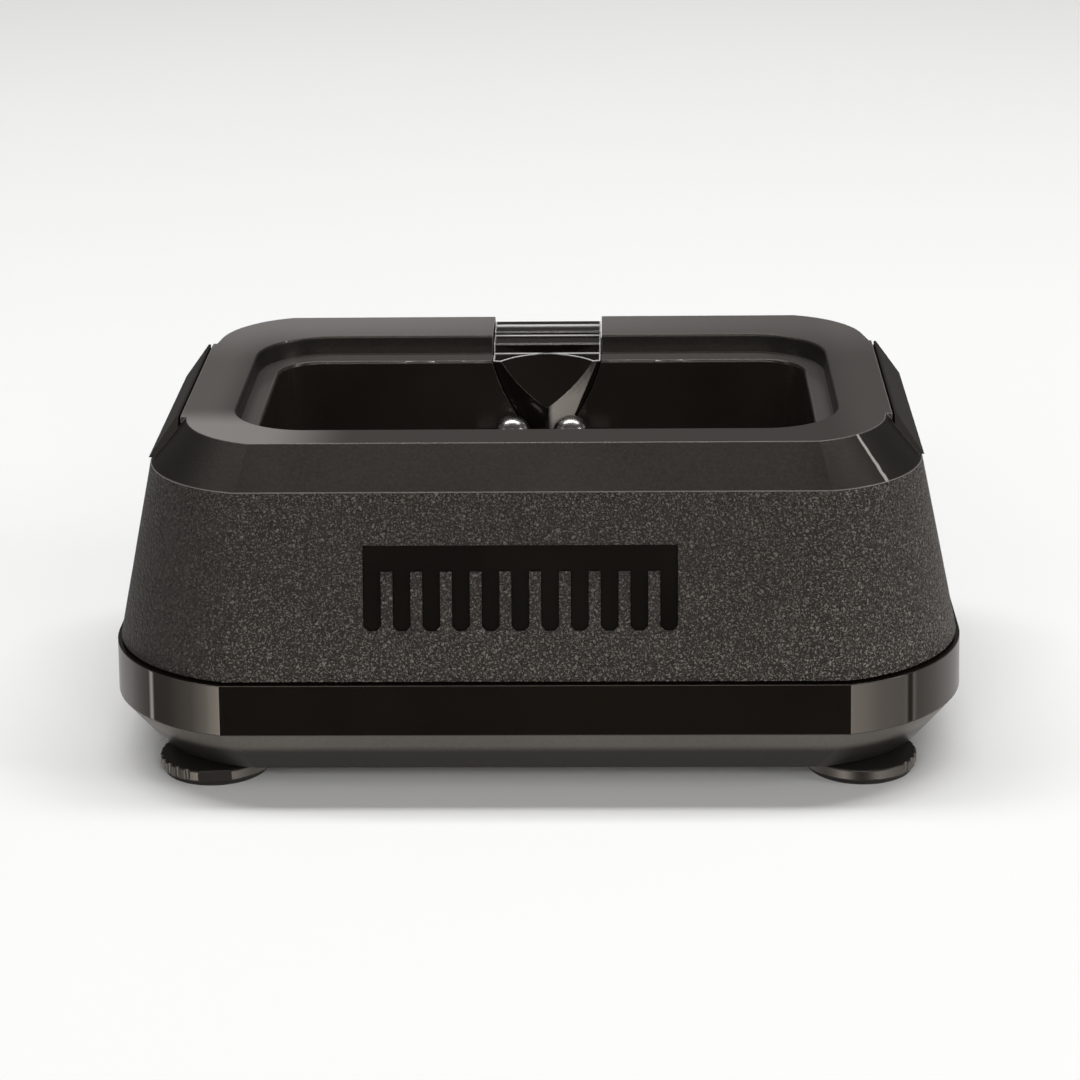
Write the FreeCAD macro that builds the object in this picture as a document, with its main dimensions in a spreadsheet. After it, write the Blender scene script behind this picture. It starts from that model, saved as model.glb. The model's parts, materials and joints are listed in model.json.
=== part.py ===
import FreeCAD, Part
import math
import os
import Sketcher

V = FreeCAD.Vector
ROT = FreeCAD.Rotation
PLC = FreeCAD.Placement

# Charging stand for a cordless hair clipper.
# Row frame: origin on the ground under the middle of the stand, +X to the
# right, +Y to the back (the side of the power inlet), +Z up.  Millimetres.

doc = FreeCAD.newDocument("clipper_stand")
sheet = doc.addObject("Spreadsheet::Sheet", "dims")
sheet.set("A1", "dimension")
sheet.set("B1", "millimetres or degrees")
ROW = [1]


class Dim:
    """A number together with the spreadsheet expression that drives it."""

    def __init__(self, value, text):
        self.value = float(value)
        self.text = text

    def __add__(self, other):
        o = as_dim(other)
        return Dim(self.value + o.value, "(%s + %s)" % (self.text, o.text))

    __radd__ = __add__

    def __sub__(self, other):
        o = as_dim(other)
        return Dim(self.value - o.value, "(%s - %s)" % (self.text, o.text))

    def __rsub__(self, other):
        o = as_dim(other)
        return Dim(o.value - self.value, "(%s - %s)" % (o.text, self.text))

    def __mul__(self, other):
        o = as_dim(other)
        return Dim(self.value * o.value, "(%s * %s)" % (self.text, o.text))

    __rmul__ = __mul__

    def __truediv__(self, other):
        o = as_dim(other)
        return Dim(self.value / o.value, "(%s / %s)" % (self.text, o.text))

    def __neg__(self):
        return Dim(-self.value, "(0 - %s)" % self.text)


def as_dim(x):
    if isinstance(x, Dim):
        return x
    return Dim(x, "%.6f" % float(x) if x >= 0 else "(0 - %.6f)" % abs(float(x)))


def cell(alias, value):
    """One driving dimension: a plain number in the sheet, with an alias."""
    ROW[0] += 1
    sheet.set("A%d" % ROW[0], alias)
    sheet.set("B%d" % ROW[0], "%.4f" % value)
    sheet.setAlias("B%d" % ROW[0], alias)
    return Dim(value, "dims." + alias)


# ---------------------------------------------------------------- dimensions
# outline stations: height, half width, half depth, corner radius, crease x
z_belly = cell("z_belly", 2.6)
a_belly = cell("a_belly", 49.7)
b_belly = cell("b_belly", 35.1)
r_belly = cell("r_belly", 17.6)
c_belly = cell("c_belly", 35.0)

z_band = cell("z_band", 8.74)
a_band = cell("a_band", 54.0)
b_band = cell("b_band", 39.4)
r_band = cell("r_band", 20.6)
c_band = cell("c_band", 38.8)

z_band_top = cell("z_band_top", 15.24)
a_band_top = cell("a_band_top", 53.85)
b_band_top = cell("b_band_top", 39.25)
r_band_top = cell("r_band_top", 20.6)
c_band_top = cell("c_band_top", 38.7)

z_skirt = cell("z_skirt", 15.6)
a_skirt = cell("a_skirt", 53.42)
b_skirt = cell("b_skirt", 38.82)
r_skirt = cell("r_skirt", 20.8)
c_skirt = cell("c_skirt", 38.2)

z_shoulder = cell("z_shoulder", 38.36)
a_shoulder = cell("a_shoulder", 48.55)
b_shoulder = cell("b_shoulder", 33.97)
r_shoulder = cell("r_shoulder", 15.5)
c_shoulder = cell("c_shoulder", 36.4)

z_rim = cell("z_rim", 43.32)
a_rim = cell("a_rim", 44.0)
b_rim = cell("b_rim", 29.4)
r_rim = cell("r_rim", 12.7)
c_rim = cell("c_rim", 35.0)

wall = cell("wall", 2.2)

# well and pocket (rounded rectangles that are not centred in depth)
well_a = cell("well_a", 38.1)
well_front = cell("well_front", 23.66)
well_back = cell("well_back", 19.75)
well_r = cell("well_r", 9.5)
ledge_z = cell("ledge_z", 40.7)
pocket_a = cell("pocket_a", 35.4)
pocket_front = cell("pocket_front", 21.0)
pocket_back = cell("pocket_back", 16.15)
pocket_r = cell("pocket_r", 5.3)
pocket_floor = cell("pocket_floor", 22.0)
pocket_draft = cell("pocket_draft", 0.4)
tub_wall = cell("tub_wall", 2.0)
flange_a = cell("flange_a", 43.0)
flange_front = cell("flange_front", 28.7)
flange_back = cell("flange_back", 24.4)
flange_r = cell("flange_r", 12.0)
flange_t = cell("flange_t", 1.8)
seat_gap = cell("seat_gap", 0.2)

# guide over the rear rim
guide_x = cell("guide_x", 0.7)
guide_w = cell("guide_w", 14.6)
notch_gap = cell("notch_gap", 0.15)
guide_tip_y = cell("guide_tip_y", 13.9)
guide_tip_z = cell("guide_tip_z", 32.2)
guide_low_w = cell("guide_low_w", 6.6)

# side shoulder panels
panel_front = cell("panel_front", 17.9)
panel_front_low = cell("panel_front_low", 20.7)
panel_back = cell("panel_back", 16.0)
panel_x_top = cell("panel_x_top", 45.1)
panel_x_low = cell("panel_x_low", 48.7)

# sprung contacts
contact_x = cell("contact_x", 4.0)
contact_y = cell("contact_y", 12.2)
contact_r = cell("contact_r", 2.5)
contact_top = cell("contact_top", 34.0)
contact_gap = cell("contact_gap", 0.08)
collar_r = cell("collar_r", 2.9)
collar_z = cell("collar_z", 26.6)
carrier_top = cell("carrier_top", 31.0)
carrier_plate = cell("carrier_plate", 2.8)
spring_r = cell("spring_r", 2.1)
spring_wire = cell("spring_wire", 0.2)
spring_pitch = cell("spring_pitch", 0.95)

# levelling feet
foot_x = cell("foot_x", 40.9)
foot_y = cell("foot_y", 28.1)
foot_r = cell("foot_r", 7.1)
sole_t = cell("sole_t", 0.55)
wheel_low = cell("wheel_low", 0.6)
wheel_top = cell("wheel_top", 2.1)
stud_r = cell("stud_r", 2.0)
stud_top = cell("stud_top", 8.0)
insert_r = cell("insert_r", 3.0)
insert_bore = cell("insert_bore", 2.06)
insert_low = cell("insert_low", 3.2)

# inside
post_x = cell("post_x", 31.0)
post_front = cell("post_front", 27.0)
post_back = cell("post_back", 26.6)
post_split = cell("post_split", 16.2)
floor_t = cell("floor_t", 2.2)
board_z = cell("board_z", 14.0)
board_t = cell("board_t", 1.6)
board_a = cell("board_a", 26.0)
board_front = cell("board_front", 14.0)
board_back = cell("board_back", 34.0)
jack_z = cell("jack_z", 22.4)
jack_r = cell("jack_r", 4.6)
jack_bore = cell("jack_bore", 2.8)
jack_pin = cell("jack_pin", 1.0)
jack_face = cell("jack_face", 36.9)
jack_back = cell("jack_back", 23.5)

# comb inlay on the front
badge_x0 = cell("badge_x0", -20.8)
badge_w = cell("badge_w", 38.4)
badge_tall = cell("badge_tall", 10.5)
badge_z = cell("badge_z", 26.95)
badge_deep = cell("badge_deep", 0.6)
badge_teeth = 11

doc.recompute()

PARTS = []


# ------------------------------------------------------------------ helpers
def new_body(name):
    body = doc.addObject("PartDesign::Body", name)
    body.Label = name
    PARTS.append(body)
    return body


def keep(obj, name):
    obj.Label = name
    PARTS.append(obj)
    return obj


def plane_of(body, role):
    for f in body.Origin.OriginFeatures:
        if f.Role == role:
            return f
    raise RuntimeError("no plane " + role)


def new_sketch(body, name, role="XY_Plane", offset=None, tilt=None, base=None):
    sk = body.newObject("Sketcher::SketchObject", name)
    sk.AttachmentSupport = [(plane_of(body, role), "")]
    sk.MapMode = "FlatFace"
    turn = ROT(V(1, 0, 0), tilt) if tilt is not None else ROT()
    if base is not None:
        sk.AttachmentOffset = PLC(V(*[as_dim(q).value for q in base]), turn)
        for axis, q in zip("xyz", base):
            sk.setExpression("AttachmentOffset.Base." + axis, as_dim(q).text)
    elif offset is not None:
        off = as_dim(offset)
        sk.AttachmentOffset = PLC(V(0, 0, off.value), turn)
        sk.setExpression("AttachmentOffset.Base.z", off.text)
    return sk


def hold(sk, kind, geo, pos, dim):
    """Fix one coordinate of a sketch point to a driven value."""
    d = as_dim(dim)
    axis = {"X": -2, "Y": -1}[kind]
    if abs(d.value) < 1e-9:
        sk.addConstraint(Sketcher.Constraint("PointOnObject", geo, pos, axis))
        return
    if d.value > 0:
        i = sk.addConstraint(Sketcher.Constraint("Distance" + kind, -1, 1, geo, pos, d.value))
        sk.setExpression("Constraints[%d]" % i, d.text)
    else:
        i = sk.addConstraint(Sketcher.Constraint("Distance" + kind, geo, pos, -1, 1, -d.value))
        sk.setExpression("Constraints[%d]" % i, (-d).text)


def radius(sk, geo, dim):
    d = as_dim(dim)
    i = sk.addConstraint(Sketcher.Constraint("Radius", geo, d.value))
    sk.setExpression("Constraints[%d]" % i, d.text)


def outline(sk, a, b, r, c):
    """Stand outline: flat front and back that meet the corner arcs in a crease
    at x = +-c, and flat sides that run tangent into the arcs."""
    A, B, R, C = (as_dim(q).value for q in (a, b, r, c))
    cx = A - R
    cy = B - math.sqrt(R * R - (C - cx) ** 2)
    t = math.atan2(B - cy, C - cx)
    g = []

    def line(p, q):
        g.append(sk.addGeometry(Part.LineSegment(V(p[0], p[1], 0), V(q[0], q[1], 0))))

    def arc(x, y, a0, a1):
        g.append(sk.addGeometry(Part.ArcOfCircle(Part.Circle(V(x, y, 0), V(0, 0, 1), R), a0, a1)))

    line((-C, -B), (C, -B))
    arc(cx, -cy, -t, 0.0)
    line((A, -cy), (A, cy))
    arc(cx, cy, 0.0, t)
    line((C, B), (-C, B))
    arc(-cx, cy, math.pi - t, math.pi)
    line((-A, cy), (-A, -cy))
    arc(-cx, -cy, math.pi, math.pi + t)
    con = Sketcher.Constraint
    for i, j in ((0, 1), (3, 4), (4, 5), (7, 0)):
        sk.addConstraint(con("Coincident", i, 2, j, 1))
    for i, j in ((1, 2), (2, 3), (5, 6), (6, 7)):
        sk.addConstraint(con("Tangent", i, 2, j, 1))
    for i in (3, 5, 7):
        sk.addConstraint(con("Equal", 1, i))
    radius(sk, 1, r)
    sk.addConstraint(con("Vertical", 2))
    sk.addConstraint(con("Vertical", 6))
    hold(sk, "X", 0, 1, -as_dim(c)); hold(sk, "Y", 0, 1, -as_dim(b))
    hold(sk, "X", 0, 2, c); hold(sk, "Y", 0, 2, -as_dim(b))
    hold(sk, "X", 4, 1, c); hold(sk, "Y", 4, 1, b)
    hold(sk, "X", 4, 2, -as_dim(c)); hold(sk, "Y", 4, 2, b)
    hold(sk, "X", 2, 1, a)
    hold(sk, "X", 6, 1, -as_dim(a))


def round_rect(sk, x0, x1, y0, y1, r, first=0):
    """Rounded rectangle with tangent corners."""
    X0, X1, Y0, Y1, R = (as_dim(q).value for q in (x0, x1, y0, y1, r))
    pts = [((X0 + R, Y0), (X1 - R, Y0)), ((X1, Y0 + R), (X1, Y1 - R)),
           ((X1 - R, Y1), (X0 + R, Y1)), ((X0, Y1 - R), (X0, Y0 + R))]
    cen = [(X1 - R, Y0 + R, -math.pi / 2), (X1 - R, Y1 - R, 0.0),
           (X0 + R, Y1 - R, math.pi / 2), (X0 + R, Y0 + R, math.pi)]
    for (p, q), (cx, cy, a0) in zip(pts, cen):
        sk.addGeometry(Part.LineSegment(V(p[0], p[1], 0), V(q[0], q[1], 0)))
        sk.addGeometry(Part.ArcOfCircle(Part.Circle(V(cx, cy, 0), V(0, 0, 1), R), a0, a0 + math.pi / 2))
    con = Sketcher.Constraint
    f = first
    for i in range(8):
        sk.addConstraint(con("Tangent", f + i, 2, f + (i + 1) % 8, 1))
    for i in (3, 5, 7):
        sk.addConstraint(con("Equal", f + 1, f + i))
    sk.addConstraint(con("Horizontal", f)); sk.addConstraint(con("Horizontal", f + 4))
    sk.addConstraint(con("Vertical", f + 2)); sk.addConstraint(con("Vertical", f + 6))
    radius(sk, f + 1, r)
    hold(sk, "Y", f, 1, y0); hold(sk, "X", f + 2, 1, x1)
    hold(sk, "Y", f + 4, 1, y1); hold(sk, "X", f + 6, 1, x0)


def polygon(sk, pts):
    vals = [(as_dim(x).value, as_dim(y).value) for x, y in pts]
    n = len(pts)
    for i in range(n):
        p, q = vals[i], vals[(i + 1) % n]
        sk.addGeometry(Part.LineSegment(V(p[0], p[1], 0), V(q[0], q[1], 0)))
    for i in range(n):
        sk.addConstraint(Sketcher.Constraint("Coincident", i, 2, (i + 1) % n, 1))
    for i, (x, y) in enumerate(pts):
        hold(sk, "X", i, 1, x)
        hold(sk, "Y", i, 1, y)


def circles(sk, items):
    """items: (x, y, r) of each circle."""
    n = len(sk.Geometry)
    for k, (x, y, r) in enumerate(items):
        X, Y, R = as_dim(x).value, as_dim(y).value, as_dim(r).value
        g = sk.addGeometry(Part.Circle(V(X, Y, 0), V(0, 0, 1), R))
        hold(sk, "X", g, 3, x)
        hold(sk, "Y", g, 3, y)
        radius(sk, g, r)


def loft(body, name, sketches, cut=False):
    kind = "PartDesign::SubtractiveLoft" if cut else "PartDesign::AdditiveLoft"
    lf = body.newObject(kind, name)
    lf.Profile = sketches[0]
    lf.Sections = [(s, [""]) for s in sketches[1:]]
    lf.Ruled = True
    for s in sketches:
        s.Visibility = False
    doc.recompute()
    return lf


def pad(body, name, sk, length, reverse=False):
    p = body.newObject("PartDesign::Pad", name)
    p.Profile = sk
    d = as_dim(length)
    p.Length = d.value
    p.setExpression("Length", d.text)
    p.Reversed = reverse
    doc.recompute()
    return p


def pocket(body, name, sk, length, reverse=False):
    before = body.Shape.Volume
    p = body.newObject("PartDesign::Pocket", name)
    p.Profile = sk
    d = as_dim(length)
    p.Type = "Length"
    p.Length = d.value
    p.setExpression("Length", d.text)
    p.Reversed = reverse
    doc.recompute()
    if not body.Shape.Volume < before - 1e-4:
        raise RuntimeError("%s cut nothing" % name)
    return p


def edges_where(shape, test):
    return ["Edge%d" % (i + 1) for i, e in enumerate(shape.Edges) if test(e)]


def fillet(body, name, base, edges, r, chamfer=False):
    if not edges:
        raise RuntimeError("no edges for " + name)
    f = body.newObject("PartDesign::Chamfer" if chamfer else "PartDesign::Fillet", name)
    f.Base = (base, edges)
    d = as_dim(r)
    if chamfer:
        f.Size = d.value
        f.setExpression("Size", d.text)
    else:
        f.Radius = d.value
        f.setExpression("Radius", d.text)
    doc.recompute()
    if "Invalid" in f.State or "Error" in f.State or f.Shape.isNull() or not f.Shape.isValid():
        body.removeObject(f)
        doc.removeObject(f.Name)
        body.Tip = base
        doc.recompute()
        print("edge break left off:", name)
        return base
    return f


def at_z(e, z, tol=0.02):
    return abs(e.BoundBox.ZMin - z) < tol and abs(e.BoundBox.ZMax - z) < tol


def place(obj, x, y, z=0.0, turn=0.0):
    """Placement of a sub-part, its position driven by the sheet."""
    dx, dy, dz = as_dim(x), as_dim(y), as_dim(z)
    obj.Placement = PLC(V(dx.value, dy.value, dz.value), ROT(V(0, 0, 1), turn))
    obj.setExpression("Placement.Base.x", dx.text)
    obj.setExpression("Placement.Base.y", dy.text)
    obj.setExpression("Placement.Base.z", dz.text)


POSTS = [(-post_x, -post_front), (post_x, -post_front), (post_x, post_back), (-post_x, post_back)]
FEET = [("front_left", -foot_x, -foot_y), ("front_right", foot_x, -foot_y),
        ("back_left", -foot_x, foot_y), ("back_right", foot_x, foot_y)]
POCKET_MID = (pocket_back - pocket_front) / 2

# ------------------------------------------------------------ textured skirt
# Hollow tapered wall between the gloss band and the shoulder.
body = new_body("textured_skirt")
s0 = new_sketch(body, "skirt_low", offset=z_skirt)
outline(s0, a_skirt, b_skirt, r_skirt, c_skirt)
s1 = new_sketch(body, "skirt_high", offset=z_shoulder)
outline(s1, a_shoulder, b_shoulder, r_shoulder, c_shoulder)
loft(body, "skirt_outer", [s0, s1])
s2 = new_sketch(body, "skirt_in_low", offset=z_skirt)
outline(s2, a_skirt - wall, b_skirt - wall, r_skirt - wall, c_skirt - 0.3)
s3 = new_sketch(body, "skirt_in_high", offset=z_shoulder)
outline(s3, a_shoulder - wall, b_shoulder - wall, r_shoulder - wall, c_shoulder - 0.3)
loft(body, "skirt_inner", [s2, s3], cut=True)
# round mouth for the power inlet in the back wall
s4 = new_sketch(body, "inlet_mouth", role="XZ_Plane", offset=-(b_skirt + 1))
circles(s4, [(0, jack_z, jack_r + 0.25)])
pocket(body, "inlet_mouth_cut", s4, 6.0, reverse=True)
# comb shaped recess in the front wall
FACE_TILT = -math.degrees(math.atan2(b_skirt.value - b_shoulder.value, z_shoulder.value - z_skirt.value))
face_y = b_skirt - (badge_z - z_skirt) * (b_skirt - b_shoulder) / (z_shoulder - z_skirt)


def comb(sk, grow):
    """Comb outline: a spine along the top with rounded teeth hanging down."""
    g = as_dim(grow)
    spine = badge_tall * 0.30
    pitch = badge_w / (badge_teeth - 0.42)
    tooth = pitch * 0.58
    top = badge_tall / 2 + g
    low = -(badge_tall / 2) - g
    mid = badge_tall / 2 - spine - g
    pts = [(badge_x0 + badge_w + g, top), (badge_x0 - g, top)]
    for k in range(badge_teeth):
        x0 = badge_x0 + pitch * k - g
        x1 = badge_x0 + pitch * k + tooth + g
        cut = tooth * 0.28
        if k > 0:
            pts.append((x0, mid))
        drop = 0.0
        pts.append((x0, low + cut + drop))
        pts.append((x0 + cut, low + drop))
        pts.append((x1 - cut, low + drop))
        pts.append((x1, low + cut + drop))
        if k < badge_teeth - 1:
            pts.append((x1, mid))
    polygon(sk, pts)


s5 = new_sketch(body, "comb_recess", role="XZ_Plane", tilt=FACE_TILT, base=(0, badge_z, face_y + 0.3))
comb(s5, 0.05)
pocket(body, "comb_recess_cut", s5, badge_deep + 0.3)

# ---------------------------------------------------------------- comb inlay
body = new_body("front_badge")
inlay_in = badge_deep + 0.28
lean = math.radians(abs(FACE_TILT))
s0 = new_sketch(body, "comb_face", role="XZ_Plane", tilt=FACE_TILT,
                base=(0, badge_z - inlay_in * math.sin(lean), face_y + 0.3 - inlay_in * math.cos(lean)))
comb(s0, 0)
pad(body, "comb_pad", s0, 0.32)

# ------------------------------------------------------------------ base band
# Gloss ring with a locating lip that stands up inside the skirt.
body = new_body("base_trim")
s0 = new_sketch(body, "band_low", offset=z_band)
outline(s0, a_band, b_band, r_band, c_band)
s1 = new_sketch(body, "band_high", offset=z_band_top)
outline(s1, a_band_top, b_band_top, r_band_top, c_band_top)
loft(body, "band_outer", [s0, s1])
s2 = new_sketch(body, "lip_plan", offset=z_band_top)
lip = wall + 0.15
outline(s2, a_skirt - lip - 0.55, b_skirt - lip - 0.55, r_skirt - lip - 0.55, c_skirt - 0.4)
pad(body, "lip_pad", s2, 2.4)
s3 = new_sketch(body, "band_inside", offset=z_band)
outline(s3, a_skirt - lip - 2.0, b_skirt - lip - 2.0, r_skirt - lip - 2.0, c_skirt - 0.6)
pocket(body, "band_inside_cut", s3, 20, reverse=True)
tip = body.Tip
fillet(body, "band_edge", tip, edges_where(tip.Shape, lambda e: at_z(e, z_band_top.value) and max(abs(e.BoundBox.XMax), abs(e.BoundBox.XMin), abs(e.BoundBox.YMin) + 14.6, abs(e.BoundBox.YMax) + 14.6) > 53.5), 0.35)

BALLAST_Y = (-18.0, 18.0)
# --------------------------------------------------------------- bottom cover
# Tapered tray: floor, wall, four tie-screw posts, board posts and foot bosses.
body = new_body("bottom_cover")
s0 = new_sketch(body, "belly_low", offset=z_belly)
outline(s0, a_belly, b_belly, r_belly, c_belly)
s1 = new_sketch(body, "belly_high", offset=z_band)
outline(s1, a_band, b_band, r_band, c_band)
loft(body, "belly_outer", [s0, s1])
s2 = new_sketch(body, "belly_in_low", offset=z_belly + floor_t)
outline(s2, a_belly - 0.9, b_belly - 0.9, r_belly - 1.6, c_belly - 0.3)
s3 = new_sketch(body, "belly_in_high", offset=z_band)
outline(s3, a_band - wall - 0.7, b_band - wall - 0.7, r_band - wall, c_band - 0.5)
loft(body, "belly_inner", [s2, s3], cut=True)
s4 = new_sketch(body, "posts_plan", offset=z_belly + 0.6)
circles(s4, [(x, y, 3.6) for x, y in POSTS])
pad(body, "posts_pad", s4, post_split - 0.05 - z_belly - 0.6)
s5 = new_sketch(body, "boss_plan", offset=z_belly + 0.6)
circles(s5, [(x, y, 4.6) for n, x, y in FEET])
pad(body, "boss_pad", s5, z_band - 0.6 - z_belly - 0.6)
s6 = new_sketch(body, "board_posts", offset=z_belly + 0.6)
BOARD_POSTS = [(-(board_a - 3), -(board_front - 3)), (board_a - 3, -(board_front - 3)),
               (board_a - 3, board_back - 5), (-(board_a - 3), board_back - 5)]
circles(s6, [(x, y, 2.6) for x, y in BOARD_POSTS])
pad(body, "board_posts_pad", s6, board_z - z_belly - 0.6)
# tie-screw wells and clearance holes
s7 = new_sketch(body, "screw_wells", offset=z_belly)
circles(s7, [(x, y, 2.75) for x, y in POSTS])
pocket(body, "screw_wells_cut", s7, 8.4, reverse=True)
s8 = new_sketch(body, "screw_holes", offset=z_belly)
circles(s8, [(x, y, 1.45) for x, y in POSTS])
pocket(body, "screw_holes_cut", s8, 20, reverse=True)
# foot studs and their brass inserts
s9 = new_sketch(body, "stud_holes", offset=z_belly)
circles(s9, [(x, y, stud_r + 0.4) for n, x, y in FEET])
pocket(body, "stud_holes_cut", s9, 20, reverse=True)
s10 = new_sketch(body, "insert_seats", offset=insert_low)
circles(s10, [(x, y, insert_r) for n, x, y in FEET])
pocket(body, "insert_seats_cut", s10, 20, reverse=True)
# pilot holes for the board screws
s11 = new_sketch(body, "board_pilots", offset=board_z)
circles(s11, [(x, y, 0.9) for x, y in BOARD_POSTS])
pocket(body, "board_pilots_cut", s11, 6)
# countersunk seats and holes of the two ballast screws
s13 = new_sketch(body, "ballast_seats", offset=z_belly)
circles(s13, [(0, y, 2.75) for y in BALLAST_Y])
pocket(body, "ballast_seats_cut", s13, 1.65, reverse=True)
s14 = new_sketch(body, "ballast_holes", offset=z_belly)
circles(s14, [(0, y, 1.6) for y in BALLAST_Y])
pocket(body, "ballast_holes_cut", s14, 6, reverse=True)
# shallow oval panel moulded into the underside
s12 = new_sketch(body, "underside_panel", offset=z_belly)
round_rect(s12, -22, 22, -12, 12, 5)
pocket(body, "underside_panel_cut", s12, 0.4, reverse=True)

# ------------------------------------------------------------------ top bezel
# Rim and shoulder ring.  The well opening goes right through; the flange of
# the tub sits in a seat below the ledge; four bosses take the tie screws.
body = new_body("top_bezel")
s0 = new_sketch(body, "shoulder_low", offset=z_shoulder)
outline(s0, a_shoulder, b_shoulder, r_shoulder, c_shoulder)
s1 = new_sketch(body, "rim_high", offset=z_rim)
outline(s1, a_rim, b_rim, r_rim, c_rim)
loft(body, "rim_outer", [s0, s1])
s2 = new_sketch(body, "skirt_lip", offset=z_shoulder - 2.2)
outline(s2, a_shoulder - wall - 0.15, b_shoulder - wall - 0.15, r_shoulder - wall - 0.15, c_shoulder - 0.4)
pad(body, "skirt_lip_pad", s2, 2.2)
s3 = new_sketch(body, "well_opening", offset=z_rim)
round_rect(s3, -well_a, well_a, -well_front, well_back, well_r)
pocket(body, "well_opening_cut", s3, 12)
s4 = new_sketch(body, "flange_seat", offset=ledge_z)
round_rect(s4, -(flange_a + seat_gap), flange_a + seat_gap, -(flange_front + seat_gap), flange_back + seat_gap, flange_r)
pocket(body, "flange_seat_cut", s4, 12)
s5 = new_sketch(body, "boss_plan", offset=post_split)
circles(s5, [(x, y, 2.8) for x, y in POSTS])
pad(body, "boss_pad", s5, ledge_z + 0.5 - post_split)
s6 = new_sketch(body, "boss_pilot", offset=post_split)
circles(s6, [(x, y, 1.2) for x, y in POSTS])
pocket(body, "boss_pilot_cut", s6, 13, reverse=True)
s12 = new_sketch(body, "flange_pilots", offset=ledge_z)
FLANGE_SCREWS = [(-40.2, -9.0), (40.2, -9.0), (40.2, 9.0), (-40.2, 9.0)]
circles(s12, [(x, y, 1.04) for x, y in FLANGE_SCREWS])
pocket(body, "flange_pilots_cut", s12, 1.3, reverse=True)
# slot through the rear rim for the guide
s7 = new_sketch(body, "guide_slot", role="XZ_Plane", offset=-(b_shoulder + 4))
round_rect(s7, guide_x - guide_w / 2 - notch_gap, guide_x + guide_w / 2 + notch_gap, ledge_z - 1.6, z_rim + 3, 0.3)
pocket(body, "guide_slot_cut", s7, b_shoulder + 4 - well_back + 4, reverse=True)
# seats of the two shoulder panels: a rib carries the rim out to the seam, and
# a sloping seat below it is cut to take the panel
PANEL_RUN = (panel_front_low - panel_front) / (z_rim - z_shoulder)
PANEL_TILT = -math.degrees(math.atan(PANEL_RUN.value))
PANEL_K = 1.0 / math.cos(math.radians(PANEL_TILT))
seam_x = panel_x_top - 0.3


def panel_pair(body, tag, pts, grow):
    """Two matching polygons: square at the back end, sloping at the front."""
    back = new_sketch(body, tag + "_back", role="XZ_Plane", offset=-(panel_back + grow))
    polygon(back, pts)
    front = new_sketch(body, tag + "_front", role="XZ_Plane", tilt=PANEL_TILT,
                       base=(0, z_rim, panel_front + grow))
    polygon(front, [(x, (as_dim(z) - z_rim) * PANEL_K) for x, z in pts])
    return [back, front]


for side, sg in (("left", -1), ("right", 1)):
    rib = new_sketch(body, "seam_rib_" + side, role="XZ_Plane", offset=-(panel_back + 0.12))
    polygon(rib, [(sg * (a_rim - 1.2), z_rim - 2.4), (sg * (seam_x + 0.2), z_rim - 2.4),
                  (sg * (seam_x + 0.2), z_rim), (sg * (a_rim - 1.2), z_rim)])
    pad(body, "seam_rib_pad_" + side, rib, panel_back + panel_front + 0.1)
    pair = panel_pair(body, "panel_seat_" + side,
                      [(sg * seam_x, z_rim + 1.2), (sg * (a_rim + 10), z_rim + 1.2),
                       (sg * (a_rim + 10), z_shoulder + 0.34), (sg * (a_shoulder - 1.42), z_shoulder + 0.34),
                       (sg * seam_x, z_rim - 2.12)], 0.12)
    loft(body, "panel_seat_cut_" + side, pair, cut=True)
tip = body.Tip
RIM_TOP = [e for e in edges_where(tip.Shape, lambda e: at_z(e, z_rim.value)
           and (abs(e.BoundBox.YMin + well_front.value) < 0.02 and abs(e.BoundBox.YMax + well_front.value) < 0.02))]
fillet(body, "well_edge", tip, RIM_TOP, 0.35)

# ------------------------------------------------------ side shoulder panels
for side, sg in (("left", -1), ("right", 1)):
    body = new_body("side_panel_" + side)
    pair = panel_pair(body, "panel", [
        (sg * panel_x_top, z_rim - 0.04), (sg * (panel_x_top + 0.3), z_rim - 0.04),
        (sg * panel_x_low, z_shoulder + 0.4), (sg * (a_shoulder - 1.36), z_shoulder + 0.4),
        (sg * panel_x_top, z_rim - 2.28)], 0)
    loft(body, "panel_block", pair)
    tip = body.Tip
    fillet(body, "panel_edges", tip, edges_where(tip.Shape, lambda e: e.BoundBox.YLength > 20
           and abs(abs(e.BoundBox.Center.x) - panel_x_top.value - 0.15) < 0.3 and e.BoundBox.ZMin > z_rim.value - 0.5), 0.1)

# --------------------------------------------------------------- cradle well
# Tub with a flange: the ledge is the flange's top face, the pocket its inside.
GUIDE_V = [(40.75, 7.3), (38.5, 6.65), (36.4, 5.85), (34.8, 5.0), (33.2, 4.1), (31.2, 3.0)]


def guide_outline(grow, top):
    """V-shaped outline of the guide's tongue, as seen from the front."""
    k = guide_w / 14.6
    right = [(guide_x + k * w + grow, z) for z, w in GUIDE_V[1:]]
    left = [(guide_x - k * w - grow, z) for z, w in GUIDE_V[1:]]
    flare = (as_dim(top) - ledge_z) * 0.29
    pts = [(guide_x + guide_w / 2 + grow + flare, top)] + right
    pts[-1] = (pts[-1][0], as_dim(GUIDE_V[-1][0]) - grow)
    left[-1] = (left[-1][0], as_dim(GUIDE_V[-1][0]) - grow)
    return pts + left[::-1] + [(guide_x - guide_w / 2 - grow - flare, top)]


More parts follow.
